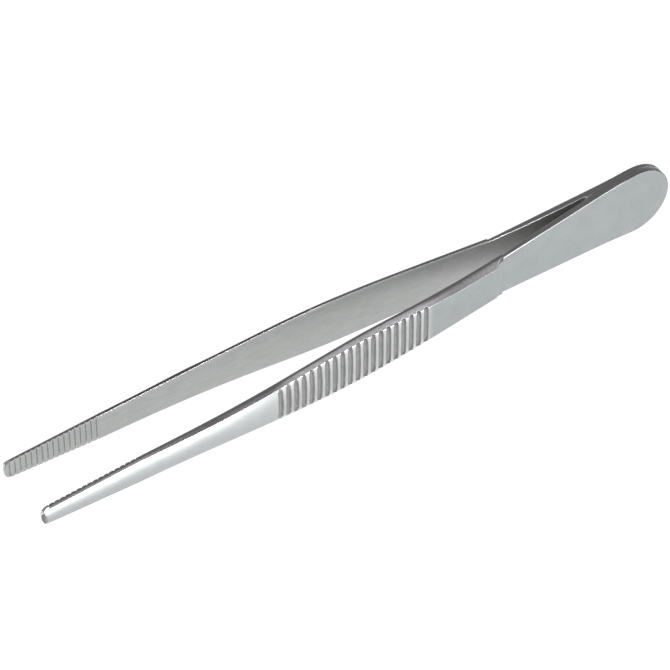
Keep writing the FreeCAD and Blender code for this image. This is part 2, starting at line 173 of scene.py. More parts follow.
@dataclass(frozen=True)
class Ribs(Row):
    """Row of round grooves across the outer face of the grip, between the ribs."""

    count: int = 20
    pitch: float = 1.6
    first: float = 45.9
    steps: tuple[float, ...] = (0.0, 0.14, 0.26, 0.35, 0.41, 0.45, 0.48, 0.52, 0.58, 0.66, 0.74)
    depth: float = 0.34
    radius: float = 0.5
    wall_slope: float = 40.0
    dull_to: float = 0.94
    clean_from: float = 1.22

    def floor(self, station: np.ndarray, crest: np.ndarray) -> np.ndarray:
        """Height of the groove surface over the stations, far above the steel elsewhere.

        Each groove is a cylinder across the arm whose axis stands radius - depth above the
        crest at its own station, so its floor is axis - sqrt(radius^2 - u^2).

        Args:
            station: distances from the tip.
            crest: height of the outer face's crest at the centre of the nearest groove.

        Returns:
            Heights of the groove surface above the mid-plane.
        """
        away = np.abs(station - self.centre(station))
        inside = np.clip(self.radius**2 - away**2, 0, None)
        beyond = np.clip(away - self.radius, 0, None)
        axis = crest + self.radius - self.depth
        return axis - np.sqrt(inside) + self.wall_slope * beyond

    def near(self, station: np.ndarray) -> np.ndarray:
        """Share of the groove look, a matte finish darkened further as painted recess shade: full
        inside a groove, fading just past its rim.
        """
        away = np.abs(station - self.centre(station))
        return 1 - ease(self.dull_to * self.radius, self.clean_from * self.radius, away)


@dataclass(frozen=True)
class Leaf:
    """Thin spring leaf behind the shoulder, with the slot and the round tail, in millimetres."""

    shoulder: float = 94.0
    shoulder_gap: float = 1.94
    front_width: float = 8.52
    thickness: float = 0.66
    weld: float = 113.2
    weld_thickness: float = 1.4
    tail_thickness: float = 1.05
    tail_blend: float = 120.0
    slot_bow: float = 280.0
    slot_end: float = 0.33
    flare_radius: float = 20.0
    outer_round: float = 0.2
    step_radius: float = 2.1
    step_edge: float = 0.05
    length: float = 130.45
    tail_width: float = 13.94

    @property
    def tail_centre(self) -> float:
        """Station of the centre of the round tail."""
        return self.length - self.tail_width / 2

    def half_width(self, station: np.ndarray) -> np.ndarray:
        """Half width of the leaf: a straight flare, then an arc that tops out at the tail.

        The flare leaves the shoulder and touches a circle of flare_radius whose highest
        point lies over the centre of the tail.

        Args:
            station: distances from the tip, up to the centre of the tail.

        Returns:
            Half widths.
        """
        half = self.front_width / 2
        along = self.tail_centre - self.shoulder
        down = self.tail_width / 2 - self.flare_radius - half
        span = math.hypot(along, down)
        turn = math.asin(self.flare_radius / span) + math.atan2(down, along)
        touch = self.shoulder + math.sqrt(span**2 - self.flare_radius**2) * math.cos(turn)
        flare = half + (station - self.shoulder) * math.tan(turn)
        rise = np.sqrt(np.clip(self.flare_radius**2 - (station - self.tail_centre) ** 2, 0, None))
        arc = self.tail_width / 2 - self.flare_radius + rise
        return np.where(station < touch, flare, arc)

    def gap(self, station: np.ndarray) -> np.ndarray:
        """Distance from the mid-plane to the inner face of the leaf.

        A bowed line runs from the shoulder to the round end of the slot: the chord, less
        the sag of an arc of slot_bow. A quarter circle closes the slot at the weld.

        Args:
            station: distances from the tip.

        Returns:
            Half gaps, zero behind the weld.
        """
        start = self.shoulder
        end = self.weld - self.slot_end
        along = np.clip((station - start) / (end - start), 0, 1)
        chord = self.shoulder_gap + (self.slot_end - self.shoulder_gap) * along
        sag = along * (1 - along) * (end - start) ** 2 / (2 * self.slot_bow)
        past = np.clip(station - end, 0, self.slot_end)
        close = np.sqrt(np.clip(self.slot_end**2 - past**2, 0, None))
        return np.where(station < end, chord - sag, close)

    def outer(self, station: np.ndarray) -> np.ndarray:
        """Distance from the mid-plane to the outer face of the leaf.

        A straight slope thins towards the tail and turns flat through an arc of tail_blend.

        Args:
            station: distances from the tip.

        Returns:
            Heights of the outer face.
        """
        top = self.shoulder_gap + self.thickness
        slope = (top - self.weld_thickness) / (self.weld - self.shoulder)
        line = top - slope * (station - self.shoulder)
        meeting = self.weld + (self.weld_thickness - self.tail_thickness) / slope
        reach = self.tail_blend * math.tan(math.atan(slope) / 2)
        into = np.clip(meeting + reach - station, 0, None)
        turned = self.tail_thickness + into**2 / (2 * self.tail_blend)
        return np.where(station < meeting - reach, line, turned)


FORGED_SECTIONS = (
    Section(0.0, 5.75, 3.7, 0.5, 3.0, 1.0, 0.3),
    Section(18.0, 5.63, 5.5, 0.55, 4.8, 1.2, 0.45),
    Section(33.0, 5.62, 6.55, 0.5, 5.6, 1.45, 0.45),
    Section(46.0, 5.34, 8.1, 0.5, 7.25, 1.5, 0.3),
    Section(63.0, 4.5, 10.03, 0.5, 9.1, 1.45, 0.12),
    Section(80.0, 3.37, 9.32, 0.55, 7.7, 1.52, 0.06),
    Section(94.0, 1.94, 9.12, 0.6, 7.1, 1.53, 0.03),
)


def smooth_curve(knots: np.ndarray, values: np.ndarray, at: np.ndarray) -> np.ndarray:
    """Natural cubic spline through the knots.

    The second derivatives at the knots solve the usual tridiagonal system, and each span
    is the cubic that has them at its ends.

    Args:
        knots: increasing positions, one per value.
        values: heights of the curve at the knots.
        at: positions to evaluate.

    Returns:
        Heights of the curve.
    """
    spans = np.diff(knots)
    slopes = np.diff(values) / spans
    count = len(knots)
    system = np.eye(count)
    inner = np.arange(1, count - 1)
    system[inner, inner - 1] = spans[:-1]
    system[inner, inner] = 2 * (spans[:-1] + spans[1:])
    system[inner, inner + 1] = spans[1:]
    load = np.zeros(count)
    load[1:-1] = 6 * np.diff(slopes)
    bend = np.linalg.solve(system, load)
    span = np.clip(np.searchsorted(knots, at, side="right") - 1, 0, count - 2)
    width = spans[span]
    right = (at - knots[span]) / width
    left = 1 - right
    straight = left * values[span] + right * values[span + 1]
    curved = (left**3 - left) * bend[span] + (right**3 - right) * bend[span + 1]
    return straight + curved * width**2 / 6


def ease(low: float, high: float, at: np.ndarray) -> np.ndarray:
    """Smooth step from 0 below low to 1 above high."""
    t = np.clip((at - low) / (high - low), 0, 1)
    return t * t * (3 - 2 * t)


@dataclass(frozen=True)
class Fade:
    """Smooth change of a share between two values, most often two stations in millimetres."""

    start: float
    end: float

    def up(self, at: np.ndarray) -> np.ndarray:
        """Share that rises from 0 to 1."""
        return ease(self.start, self.end, at)

    def down(self, at: np.ndarray) -> np.ndarray:
        """Share that falls from 1 to 0."""
        return 1 - ease(self.start, self.end, at)


@dataclass(frozen=True)
class PaintedLightAndFinish:
    """Where the painted shade and painted highlights, and the polish and slot finishes, start and
    end along an arm, and how strong they are there.

    Fades are stations from the tip, but for notch_depth (a depth) and groove_end (a share).
    """

    # Jaw: painted shade on the nose, and painted highlights on the corners of the tip and the ends
    # of the notches.
    nose: Fade = Fade(0.55, 1.0)
    nose_shade: float = 0.55
    tip: Fade = Fade(0.8, 1.6)
    notches: Fade = Fade(1.6, 2.4)
    notch_depth: Fade = Fade(0.02, 0.12)
    # Rear arm: painted shade on the narrow edge over a painted highlight line, from the jaw to the
    # grip.
    line_in: Fade = Fade(14.0, 20.0)
    line_out: Fade = Fade(58.0, 66.0)
    line_highlight: float = 0.5
    line_shade: float = 0.7
    # Edges of the forged arm: painted shade along the taper, the shank and the inner rim, which
    # dims their highlights.
    taper_thin: Fade = Fade(33.0, 39.0)
    taper_loss: float = 0.18
    taper: Fade = Fade(43.5, 51.0)
    shank: Fade = Fade(66.0, 84.0)
    shank_shade: float = 0.88
    edge_base: float = 0.25
    edge_most: float = 0.95
    inner_rim: float = 0.75
    inner_rim_line: float = 0.4
    # Grip: painted highlights on the ends of the ridges, painted shadow on the ends of the grooves.
    grip_in: Fade = Fade(44.5, 46.0)
    grip_out: Fade = Fade(76.6, 77.2)
    ridge_highlight: float = 0.7
    groove_end: Fade = Fade(0.0, 0.35)
    groove_end_shade: float = 1.2
    # Shank and shoulder: the end of the polish, painted shade on the crown's edge, and painted
    # shadow in the cove.
    polish: Fade = Fade(76.8, 77.6)
    shank_crest: Fade = Fade(76.8, 78.0)
    shank_crest_shade: float = 0.5
    cove_depth: float = 0.02
    cove_shade: float = 0.95
    # Leaf and tail: the slot's finish, and painted shade that dims the highlights of the rims, the
    # seam, the lip and the tail's edge.
    slot: Fade = Fade(78.0, 102.0)
    leaf_rim: float = 0.2
    seam: Fade = Fade(113.2, 115.0)
    seam_rim: float = 0.55
    lip: Fade = Fade(96.0, 106.0)
    lip_base: float = 0.72
    lip_more: float = 0.13
    tail: Fade = Fade(113.0, 122.0)
    tail_shade: float = 0.97
    tail_end: Fade = Fade(125.0, 129.0)
    tail_end_shade: float = 0.8


def soft_min(first: np.ndarray, second: np.ndarray, radius: float) -> np.ndarray:
    """Lower of two heights, rounded over where they cross."""
    blend = np.clip(radius - np.abs(first - second), 0, None) / radius
    return np.minimum(first, second) - blend**2 * radius / 4


def fillet(corner: np.ndarray, before: np.ndarray, after: np.ndarray, radius: np.ndarray,
           turns: np.ndarray) -> np.ndarray:
    """Round arcs at the corners of many profiles at once.

    With d1 and d2 the directions into and out of a corner and a the angle between them,
    the arc starts radius * tan(a / 2) before the corner and at turn t stands
    radius * (sin(t a) along d1 + (1 - cos(t a)) towards d2's side).

    Args:
        corner: (N, 2) corners.
        before: (N, 2) points before the corners.
        after: (N, 2) points after them.
        radius: (N,) radii, cut down where a side is too short.
        turns: (A,) shares of the whole turn.

    Returns:
        (N, A, 2) points on the arcs.
    """
    into = corner - before
    out = after - corner
    into_length = np.linalg.norm(into, axis=1)
    out_length = np.linalg.norm(out, axis=1)
    into = into / into_length[:, None]
    out = out / out_length[:, None]
    cosine = np.clip((into * out).sum(1), -1, 1)
    angle = np.arccos(cosine)
    room = ARC_ROOM * np.minimum(into_length, out_length)
    setback = np.minimum(radius * np.tan(angle / 2), room)
    radius = setback / np.tan(np.clip(angle, LEAST_ANGLE, None) / 2)
    side = out - cosine[:, None] * into
    side = side / np.clip(np.linalg.norm(side, axis=1), LEAST_LENGTH, None)[:, None]
    sweep = angle[:, None] * turns[None, :]
    start = corner - into * setback[:, None]
    ahead = (radius[:, None] * np.sin(sweep))[:, :, None] * into[:, None, :]
    across = (radius[:, None] * (1 - np.cos(sweep)))[:, :, None] * side[:, None, :]
    return start[:, None, :] + ahead + across


def between(start: np.ndarray, end: np.ndarray, shares: np.ndarray) -> np.ndarray:
    """Points at given shares of the way from (N, 2) starts to (N, 2) ends."""
    return start[:, None, :] + (end - start)[:, None, :] * shares[None, :, None]


def weld(places: np.ndarray, quads: np.ndarray) -> tuple[np.ndarray, list, np.ndarray]:
    """Merge points that coincide, drop what that flattens, and point the faces outwards.

    A face that loses one corner becomes a triangle, and one that loses more goes. The
    signed volume, a sixth of the sum of a . (b x c) over the faces, tells the direction.

    Args:
        places: (P, 3) points in metres.
        quads: (F, 4) corners of the faces, all turning the same way.

    Returns:
        The points that are left, the faces, and which of the given points were kept.
    """
    keys = np.round(places * WELD_GRID).astype(np.int64)
    _, kept, inverse = np.unique(keys, axis=0, return_index=True, return_inverse=True)
    places = places[kept]
    quads = inverse.reshape(-1)[quads]
    doubled = quads == np.roll(quads, -1, axis=1)
    crossed = (quads[:, 0] == quads[:, 2]) | (quads[:, 1] == quads[:, 3])
    whole = quads[(doubled.sum(1) == 0) & ~crossed]
    single = (doubled.sum(1) == 1) & ~crossed
    after = (np.argmax(doubled[single], axis=1)[:, None] + 1 + np.arange(3)) % 4
    triangles = np.take_along_axis(quads[single], after, axis=1)
    halves = np.concatenate([whole[:, [0, 1, 2]], whole[:, [0, 2, 3]], triangles])
    a, b, c = (places[halves[:, corner]] for corner in range(3))
    if (a * np.cross(b, c)).sum() < 0:
        whole = whole[:, ::-1]
        triangles = triangles[:, ::-1]
    return places, whole.tolist() + triangles.tolist(), kept


@dataclass(frozen=True)
class Spacing:
    """How close the skin's cross-sections stand, in millimetres, and lines per quarter turn."""

    forged: float = 0.8
    leaf: float = 0.6
    jaw_end: float = 18.4
    grip_start: float = 45.0
    grip_end: float = 77.2
    margin: float = 0.3
    weld_margin: float = 0.8
    closest: float = 1.5e-4
    tip: int = 16
    nose: int = 10
    cove: int = 30
    slot: int = 9
    tail: int = 40
    step: tuple[float, ...] = (-0.02, -1e-4, 1e-4, 0.02, 0.06, 0.12, 0.2, 0.3, 0.4)
    lip: tuple[float, ...] = (-0.12, -0.08, -0.05, -0.03, -0.015, 0.0, 0.015, 0.03, 0.05)


@dataclass(frozen=True)
class SectionGrid:
    """Where the points of a half section stand, as shares of each run, and two fades on them:
    painted shade across the crown's edge, and painted highlight at the notch ends.

    The crown's shares count from its middle, and arc is the number of points on a round.
    """

    inner: tuple[float, ...] = (0.0, 0.2, 0.4, 0.6, 0.8, 0.94, 0.985)
    strip: tuple[float, ...] = (0.12, 0.5, 0.88)
    bevel: tuple[float, ...] = (0.06, 0.2, 0.35, 0.5, 0.65, 0.8, 0.94)
    crown: tuple[float, ...] = (0.985, 0.94, 0.86, 0.76, 0.65, 0.54, 0.43, 0.32, 0.21, 0.1, 0.0)
    arc: int = 6
    crest_shade_fade: tuple[float, ...] = (0.6, 0.5, 0.35, 0.2, 0.08)
    notch_glint_fade: tuple[float, ...] = (0.6, 1.0, 0.6)


def quarter_turn(count: int) -> np.ndarray:
    """Evenly spaced angles from 0 to a right angle."""
    return np.linspace(0, math.pi / 2, count)


@dataclass
class Arm:
    """One arm of the forceps as a closed skin of cross-sections."""

    name: str
    node: str
    side: Side
    sections: tuple[Section, ...] = FORGED_SECTIONS
    leaf: Leaf = field(default_factory=Leaf)
    teeth: Teeth = field(default_factory=Teeth)
    ribs: Ribs = field(default_factory=Ribs)
    painted_light_and_finish: PaintedLightAndFinish = field(default_factory=PaintedLightAndFinish)
    spacing: Spacing = field(default_factory=Spacing)
    grid: SectionGrid = field(default_factory=SectionGrid)
    rear_bevel: float = 0.5
    rear_bevel_start: float = 33.0
    rear_bevel_full: float = 46.0
    tip_corner: float = 1.4
    tip_nose: float = 0.7
    inner_round: float = 0.09
    edge_round: float = 0.07
    bevel_round: float = 0.1
    rib_rim: float = 0.07
    face_room: float = 0.93
    groove_full: float = 0.3

    @property
    def tooth_shift(self) -> float:
        """The front jaw's teeth stand half a pitch back, so that the jaws mesh."""
        return self.teeth.pitch / 2 if self.side is Side.FRONT else 0.0

    def read(self, part: str, station: np.ndarray) -> np.ndarray:
        """One size of the forged sections: straight along the jaw, then a smooth curve.

        Args:
            part: field of Section.
            station: distances from the tip, held at the shoulder beyond it.

        Returns:
            Sizes in millimetres.
        """
        knots = np.array([section.station for section in self.sections])
        values = np.array([getattr(section, part) for section in self.sections])
        jaw = values[0] + (values[1] - values[0]) * np.clip(station, 0, knots[1]) / knots[1]
        arm = smooth_curve(knots[1:], values[1:], np.clip(station, knots[1], knots[-1]))
        return np.where(station < knots[1], jaw, arm)

    def lines(self) -> tuple[np.ndarray, np.ndarray]:
        """Where the skin's cross-sections stand.

        Up to the centre of the round tail they stand straight across the arm. Around the
        tail they turn about its centre, from straight up to straight back.

        Returns:
            Stations of the lines, and their angles from the arm's axis.
        """
        leaf, space = self.leaf, self.spacing
        cove_start = leaf.shoulder - leaf.step_radius
        stations = np.sort(np.concatenate([
            self.tip_corner * (1 - np.cos(quarter_turn(space.tip))),
            self.tip_nose * (1 - np.cos(quarter_turn(space.nose))),
            self.teeth.stations(self.tooth_shift),
            np.arange(space.jaw_end, space.grip_start, space.forged),
            self.ribs.stations(),
            np.arange(space.grip_end, cove_start - space.margin, space.forged),
            leaf.shoulder - self.step_run + np.array(space.lip),
            leaf.shoulder - leaf.step_radius * np.sin(quarter_turn(space.cove)),
            leaf.shoulder + np.array(space.step),
            np.arange(leaf.shoulder + space.leaf, leaf.weld - space.weld_margin, space.leaf),
            leaf.weld - leaf.slot_end * (1 - np.sin(quarter_turn(space.slot))),
            np.arange(leaf.weld + space.margin, leaf.tail_centre - space.margin, space.leaf),
            np.array([leaf.weld - space.leaf, leaf.tail_centre]),
        ]))
        stations = stations[np.concatenate([[True], np.diff(stations) > space.closest])]
        fan = np.linspace(math.pi / 2, 0, space.tail)[1:]
        across = np.full(len(stations), math.pi / 2)
        return (np.concatenate([stations, np.full(len(fan), leaf.tail_centre)]),
                np.concatenate([across, fan]))

    @property
    def step_run(self) -> float:
        """How far ahead of the shoulder the cove runs out through the outer face.

        Returns:
            sqrt(R^2 - (R - rise)^2), with R the cove's radius and rise the height of the step.
        """
        leaf = self.leaf
        rise = self.sections[-1].thickness - leaf.thickness
        return math.sqrt(leaf.step_radius**2 - (leaf.step_radius - rise) ** 2)

    def half_width(self, station: np.ndarray) -> np.ndarray:
        """Half width of the arm, with the corners of the tip rounded.

        Args:
            station: distances from the tip.

        Returns:
            Half widths.
        """
        half = self.read("width", station) / 2
        at_corner = self.read("width", np.array([self.tip_corner]))[0] / 2
        into = np.clip(self.tip_corner - station, 0, self.tip_corner)
        arc = np.sqrt(np.clip(self.tip_corner**2 - into**2, 0, None))
        rounded = at_corner - self.tip_corner + arc
        half = np.where(station < self.tip_corner, rounded, half)
        return np.where(station > self.leaf.shoulder, self.leaf.half_width(station), half)

    def corners(self, station: np.ndarray) -> dict[str, np.ndarray]:
        """Corners of the cross-section: distance from the mid-plane, and height in the arm.

        Args:
            station: distances from the tip.

        Returns:
            Arrays for the inner corner, the two ends of the bevel, the crest and radii.
        """
        leaf = self.leaf
        behind = station > leaf.shoulder
        half = self.half_width(station)
        gap = np.where(behind, leaf.gap(station), self.read("gap", station))
        thickness = self.read("thickness", station)
        crown = self.read("crown", station)
        face = self.read("face", station) / 2
        edge = self.read("edge", station)
        full = self.read("width", station) / 2
        if self.side is Side.REAR:
            ground = ease(self.rear_bevel_start, self.rear_bevel_full, station)
            face = face - self.rear_bevel * ground
        # Where the tip's corner cuts in past the bevel, the narrow edge reaches up to the face.
        crown_radius = (face**2 + crown**2) / (2 * crown)
        inset = np.minimum(half, face)
        on_crown = thickness - crown_radius + np.sqrt(crown_radius**2 - inset**2)
        bevel_share = np.clip((full - half) / (full - face), 0, 1)
        on_bevel = edge + (thickness - crown - edge) * bevel_share
        edge = np.where(half < face, on_crown, on_bevel)
        face = np.minimum(face, self.face_room * half)
        on_face = thickness - crown_radius + np.sqrt(crown_radius**2 - face**2)
        cut = (2 - math.sqrt(2)) * leaf.outer_round
        outer = leaf.outer(station)
        return {
            "half": half,
            "gap": gap,
            "edge": np.where(behind, outer - cut, gap + edge),
            "face": np.where(behind, half - cut, face),
            "shoulder": np.where(behind, outer, gap + on_face),
            "crest": np.where(behind, outer, gap + thickness),
            "edge_round": np.where(behind, leaf.outer_round, self.edge_round),
            "bevel_round": np.where(behind, leaf.outer_round, self.bevel_round),
        }

    def profile(self, station: np.ndarray) -> tuple[np.ndarray, dict[Mask, np.ndarray]]:
        """Half cross-sections, from the middle of the inner face to the middle of the outer.

        Args:
            station: distances from the tip.

        Returns:
            (N, M, 2) distances from the mid-plane and heights, and a weight per point for
            each mask.
        """
        size = self.corners(station)
        zero = np.zeros_like(station)
        middle = np.stack([size["gap"], zero], 1)
        inner = np.stack([size["gap"], size["half"]], 1)
        edge = np.stack([size["edge"], size["half"]], 1)
        face = np.stack([size["shoulder"], size["face"]], 1)
        crest = np.stack([size["crest"], zero], 1)
        turns = np.linspace(0, 1, self.grid.arc)
        inner_arc = fillet(inner, middle, edge, np.full_like(station, self.inner_round), turns)
        edge_arc = fillet(edge, inner, face, size["edge_round"], turns)
        # The crown leaves its corner along its own tangent.
        rise = np.clip(size["crest"] - size["shoulder"], LEAST_RISE, None)
        crown_radius = (size["face"] ** 2 + rise**2) / (2 * rise)
        sine = size["face"] / crown_radius
        tangent = np.stack([sine, -np.sqrt(1 - sine**2)], 1)
        face_arc = fillet(face, edge, face + tangent, size["bevel_round"], turns)
        inner_face = between(middle, inner_arc[:, 0], np.array(self.grid.inner))
        strip = between(inner_arc[:, -1], edge_arc[:, 0], np.array(self.grid.strip))
        bevel = between(edge_arc[:, -1], face_arc[:, 0], np.array(self.grid.bevel))
        heights = face_arc[:, -1, 1][:, None] * np.array(self.grid.crown)
        drop = crown_radius[:, None] - np.sqrt(crown_radius[:, None] ** 2 - heights**2)
        crown = np.stack([size["crest"][:, None] - drop, heights], 2)
        runs = [inner_face, inner_arc, strip, edge_arc, bevel, face_arc, crown]
        points = np.concatenate(runs, 1)
        return points, self.parts(points.shape[:2], np.cumsum([run.shape[1] for run in runs]))

    def parts(self, shape: tuple[int, int], ends: np.ndarray) -> dict[Mask, np.ndarray]:
        """Weights that name the parts of a half section by the place of each point in it.

        Parts overlap by up to three points, because a finish runs onto the rounded edges.

        Args:
            shape: number of sections, and of points in each.
            ends: index just behind the last point of each run of the section.

        Returns:
            A weight per point for each mask, the same in every section.
        """
        inner, inner_arc, strip, edge_arc, bevel, face_arc = ends[:6]
        index = np.arange(shape[1])
        # Shares of painted shade across the crown's edge.
        crest = np.zeros(shape[1])
        crest[bevel:face_arc] = self.grid.crest_shade_fade[0]
        crest[face_arc:face_arc + len(self.grid.crest_shade_fade)] = self.grid.crest_shade_fade
        # Shares of painted highlight at the ends of the notches.
        notch_glint = np.zeros(shape[1])
        notch_glint[inner - 2:inner + 1] = self.grid.notch_glint_fade
        flat = {
            Mask.INNER: index < inner,
            Mask.SLOT: index < inner,
            Mask.RIM: (index >= inner) & (index < inner_arc),
            Mask.STRIP: (index >= inner + 3) & (index < edge_arc - 2),
            Mask.HONED: (index > strip) & (index < edge_arc + 2),
            Mask.LIP: (index >= strip) & (index < face_arc - 1),
            Mask.BEVEL: (index >= edge_arc - 2) & (index < bevel + 3),
            Mask.POLISH: index >= edge_arc - 1,
            Mask.WALL: index > face_arc + 1,
            Mask.CREST_SHADE: crest,
            Mask.BURR: notch_glint,
        }
        return {mask: np.broadcast_to(part, shape).astype(float) for mask, part in flat.items()}

    def skin(self) -> tuple[np.ndarray, dict[Mask, np.ndarray]]:
        """Points of the upper half of the skin, in the arm's own millimetres.

        Notches press the inner face outwards. The nose, the rib grooves and the cove of the
        shoulder cut the outer face down.

        Returns:
            (N, M, 3) points as station, distance from the mid-plane and height, and the
            weights of the masks.
        """
        station, angle = self.lines()
        points, parts = self.profile(station)
        at = station[:, None]
        pressed = self.press_inner(points[:, :, 0], station)
        outer = parts[Mask.POLISH] > 0
        centre = self.ribs.centre(station)
        crest = self.read("gap", centre) + self.read("thickness", centre)
        floor = self.ribs.floor(at, crest[:, None])
        forged = at < self.leaf.shoulder
        cut = np.where(forged, soft_min(pressed, floor, self.rib_rim), pressed)
        # The groove look, a matte finish with painted recess shade, reaches a little past each
        # groove's rim.
        wall = parts[Mask.WALL] * self.ribs.near(at)
        cut_in = np.clip((pressed - cut) / (self.groove_full * self.ribs.depth), 0, 1)
        parts[Mask.GROOVE] = np.maximum(cut_in, wall) * forged * outer
        ribbed = np.where(outer, cut, pressed)
        stepped = self.cut_step(ribbed, at)
        height = points[:, :, 1]
        along = at + height * np.cos(angle)[:, None]
        up = height * np.sin(angle)[:, None]
        weights = self.finish_weights(parts, at, along, ribbed - stepped >= self.painted_light_and_finish.cove_depth)
        return np.stack([along, stepped, up], 2), weights

    def press_inner(self, depth: np.ndarray, station: np.ndarray) -> np.ndarray:
        """Press the notches into the inner face, and round the end of the tip on both faces.

        Args:
            depth: distances from the mid-plane, one row per cross-section.
            station: distances from the tip.

        Returns:
            The distances, raised by the notches and cut down by the nose, a quarter circle.
        """
        at = station[:, None]
        gap = self.corners(station)["gap"][:, None]
        into = np.clip(self.inner_round - at, 0, self.inner_round)
        rim = gap + self.inner_round - np.sqrt(self.inner_round**2 - into**2)
        depth = np.maximum(depth, np.maximum(gap + self.teeth.carve(at, self.tooth_shift), rim))
        nose_in = np.clip(self.tip_nose - at, 0, self.tip_nose)
        tip_crest = self.sections[0].gap + self.sections[0].thickness
        nose = tip_crest - self.tip_nose + np.sqrt(np.clip(self.tip_nose**2 - nose_in**2, 0, None))
        return np.minimum(depth, np.where(at < self.tip_nose, nose, np.inf))

    def finish_weights(self, parts: dict[Mask, np.ndarray], at: np.ndarray, along: np.ndarray,
                       coved: np.ndarray) -> dict[Mask, np.ndarray]:
        """Weights of the finishes, the painted shade and the painted highlights: the parts of the
        section, faded along the arm.

        Args:
            parts: weights that name the parts of the section.
            at: stations, one row per cross-section.
            along: distance of every point from the tip, along the arm.
            coved: which points the cove cuts down.

        Returns:
            A weight per point for each mask that the steel reads.
        """
        painted_light_and_finish = self.painted_light_and_finish
        forged = at <= self.leaf.shoulder
        rear = self.side is Side.REAR
        strip, rim, groove = parts[Mask.STRIP], parts[Mask.RIM], parts[Mask.GROOVE]
        bevel = parts[Mask.BEVEL] * ~coved * forged
        crest = parts[Mask.CREST_SHADE] * forged
        lip = parts[Mask.LIP] * (1 - forged)
        polish = parts[Mask.POLISH] * painted_light_and_finish.polish.down(at)
        # Shares along the arm.
        taper = (1 - painted_light_and_finish.taper_loss * painted_light_and_finish.taper_thin.up(at)) * painted_light_and_finish.taper.down(at)
        edge_shade = np.maximum(taper, painted_light_and_finish.shank_shade * painted_light_and_finish.shank.up(at))
        behind_tip = painted_light_and_finish.tip.up(at)
        line = painted_light_and_finish.line_in.up(at) * painted_light_and_finish.line_out.down(at) * rear
        notch = painted_light_and_finish.notch_depth.up(self.teeth.carve(at, self.tooth_shift)) * painted_light_and_finish.notches.up(at)
        grip = painted_light_and_finish.grip_in.up(at) * painted_light_and_finish.grip_out.down(at)
        rim_forged = painted_light_and_finish.inner_rim + (painted_light_and_finish.inner_rim_line - painted_light_and_finish.inner_rim) * line
        rim_leaf = painted_light_and_finish.leaf_rim + painted_light_and_finish.seam_rim * painted_light_and_finish.seam.up(at)
        lip_shade = painted_light_and_finish.lip_base + painted_light_and_finish.lip_more * (1 if rear else painted_light_and_finish.lip.up(at))
        clear = (1 - groove) * behind_tip
        # Painted shade: dark steel over the edges, bevels, rims, nose, lip and tail dims their
        # highlights, and over the groove ends it stands in for shadow.
        honed = np.maximum.reduce([
            parts[Mask.HONED] * forged * np.clip(painted_light_and_finish.edge_base + edge_shade, 0, painted_light_and_finish.edge_most) * clear,
            bevel * edge_shade * clear,
            np.maximum(crest, bevel) * painted_light_and_finish.groove_end_shade * painted_light_and_finish.groove_end.up(groove),
            rim * np.where(forged, rim_forged, rim_leaf),
            painted_light_and_finish.line_shade * strip * line * (1 - rim),
            painted_light_and_finish.nose_shade * (polish > 0) * painted_light_and_finish.nose.down(at),
            lip * np.maximum(lip_shade, painted_light_and_finish.tail_shade * painted_light_and_finish.tail.up(at)),
            strip * painted_light_and_finish.tail_end_shade * painted_light_and_finish.tail_end.up(along),
        ])
        # Painted highlights: near-white steel on the leaf's rims and lip, a line on the rear arm,
        # the notch ends, the ridge ends and the tip's corners.
        painted_highlights = np.maximum.reduce([
            np.maximum(rim, lip) * (1 - forged),
            painted_light_and_finish.line_highlight * rim * line,
            parts[Mask.BURR] * notch,
            painted_light_and_finish.ridge_highlight * crest * grip * (1 - groove),
            np.maximum(strip, bevel) * (1 - behind_tip),
        ])
        # Painted shade on the crown's edge, and painted shadow in the cove of the shoulder.
        crown_shade = np.maximum(taper, painted_light_and_finish.shank_crest_shade * painted_light_and_finish.shank_crest.up(at))
        cove_shadow = painted_light_and_finish.cove_shade * parts[Mask.LIP] * coved
        return {
            Mask.INNER: parts[Mask.INNER],
            Mask.SLOT: parts[Mask.SLOT] * painted_light_and_finish.slot.up(at),
            Mask.POLISH: polish,
            Mask.STRIP: strip,
            Mask.BEVEL: bevel,
            Mask.GROOVE: groove,
            Mask.RIM: painted_highlights,
            Mask.HONED: honed,
            Mask.CREST_SHADE: np.maximum(crest * crown_shade * (1 - groove), cove_shadow),
        }

    def cut_step(self, depth: np.ndarray, at: np.ndarray) -> np.ndarray:
        """Cut the cove that steps down from the face of the shank to the leaf.

        The cove is a cylinder across the arm whose lowest line lies on the leaf at the
        shoulder: its height there is floor + R - sqrt(R^2 - u^2), u ahead of the shoulder.

        Args:
            depth: distances from the mid-plane.
            at: stations, one row per cross-section.

        Returns:
            The distances, cut down by the cove.
        """
        leaf = self.leaf
        floor = leaf.shoulder_gap + leaf.thickness
        ahead = np.clip(leaf.shoulder - at, 0, leaf.step_radius)
        cove = floor + leaf.step_radius - np.sqrt(leaf.step_radius**2 - ahead**2)
        inside = (at <= leaf.shoulder) & (at > leaf.shoulder - leaf.step_radius)
        return np.where(inside, soft_min(depth, cove, leaf.step_edge), depth)

    def build(self) -> bpy.types.Object:
        """Make the arm's mesh, with its masks as point attributes.

        Returns:
            The arm, standing in for the plain node.
        """
        upper, weights = self.skin()
        rows, points = upper.shape[:2]
        lower = upper[:, ::-1] * np.array([1, 1, -1])
        ring = np.concatenate([upper, lower[:, 1:-1]], 1)
        ring[:, :, 0] -= self.leaf.length / 2
        ring[:, :, 1] *= self.side.value
        ring[:, :, 2] += self.leaf.tail_width / 2
